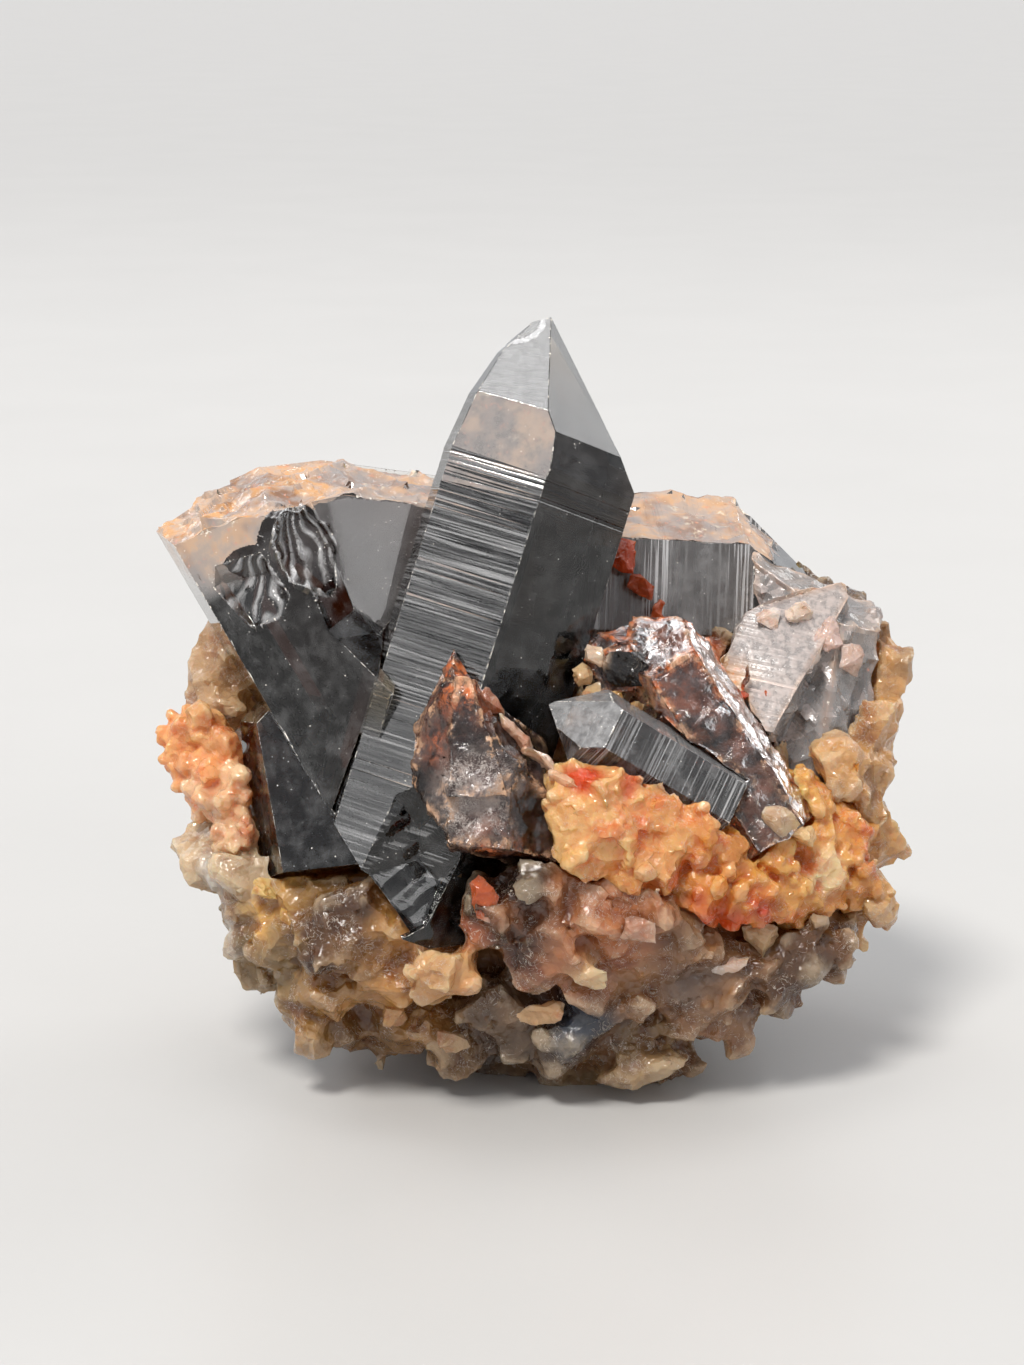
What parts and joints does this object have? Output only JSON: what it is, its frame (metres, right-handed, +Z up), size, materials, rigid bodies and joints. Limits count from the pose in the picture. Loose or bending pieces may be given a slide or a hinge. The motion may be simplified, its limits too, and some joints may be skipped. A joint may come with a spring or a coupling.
{
  "type": "smoky quartz crystal cluster on matrix",
  "caption": "Smoky quartz cluster: dark faceted crystals on a lumpy matrix with an orange iron-stained crust; stands on its flat broken foot.",
  "frame": {"origin": "bottom centre of the bounding box, on the plane of the flat broken foot", "axes": "+Z up, +X to the right as the picture shows the cluster, +Y away from the camera"},
  "size_m": [0.074, 0.0504, 0.0732],
  "materials": {
    "smoky_quartz": "polished, natural crystal faces",
    "brown_quartz": "glossy, finely striated faces",
    "frosted_quartz": "frosted and pitted faces",
    "orange_crust": "wet-looking iron-stained quartz grains",
    "matrix_rock": "broken translucent quartz and feldspar grains"
  },
  "bodies": {
    "root": {"main_point": "smoky_quartz", "left_crystals": "smoky_quartz", "front_crystal": "frosted_quartz", "small_dark_crystal": "smoky_quartz", "ridge_crystal": "frosted_quartz", "right_crystals": "brown_quartz", "back_right_crystal": "smoky_quartz", "orange_crust": "orange_crust", "left_druse": "orange_crust", "matrix": "matrix_rock"}
  },
  "joints": []
}
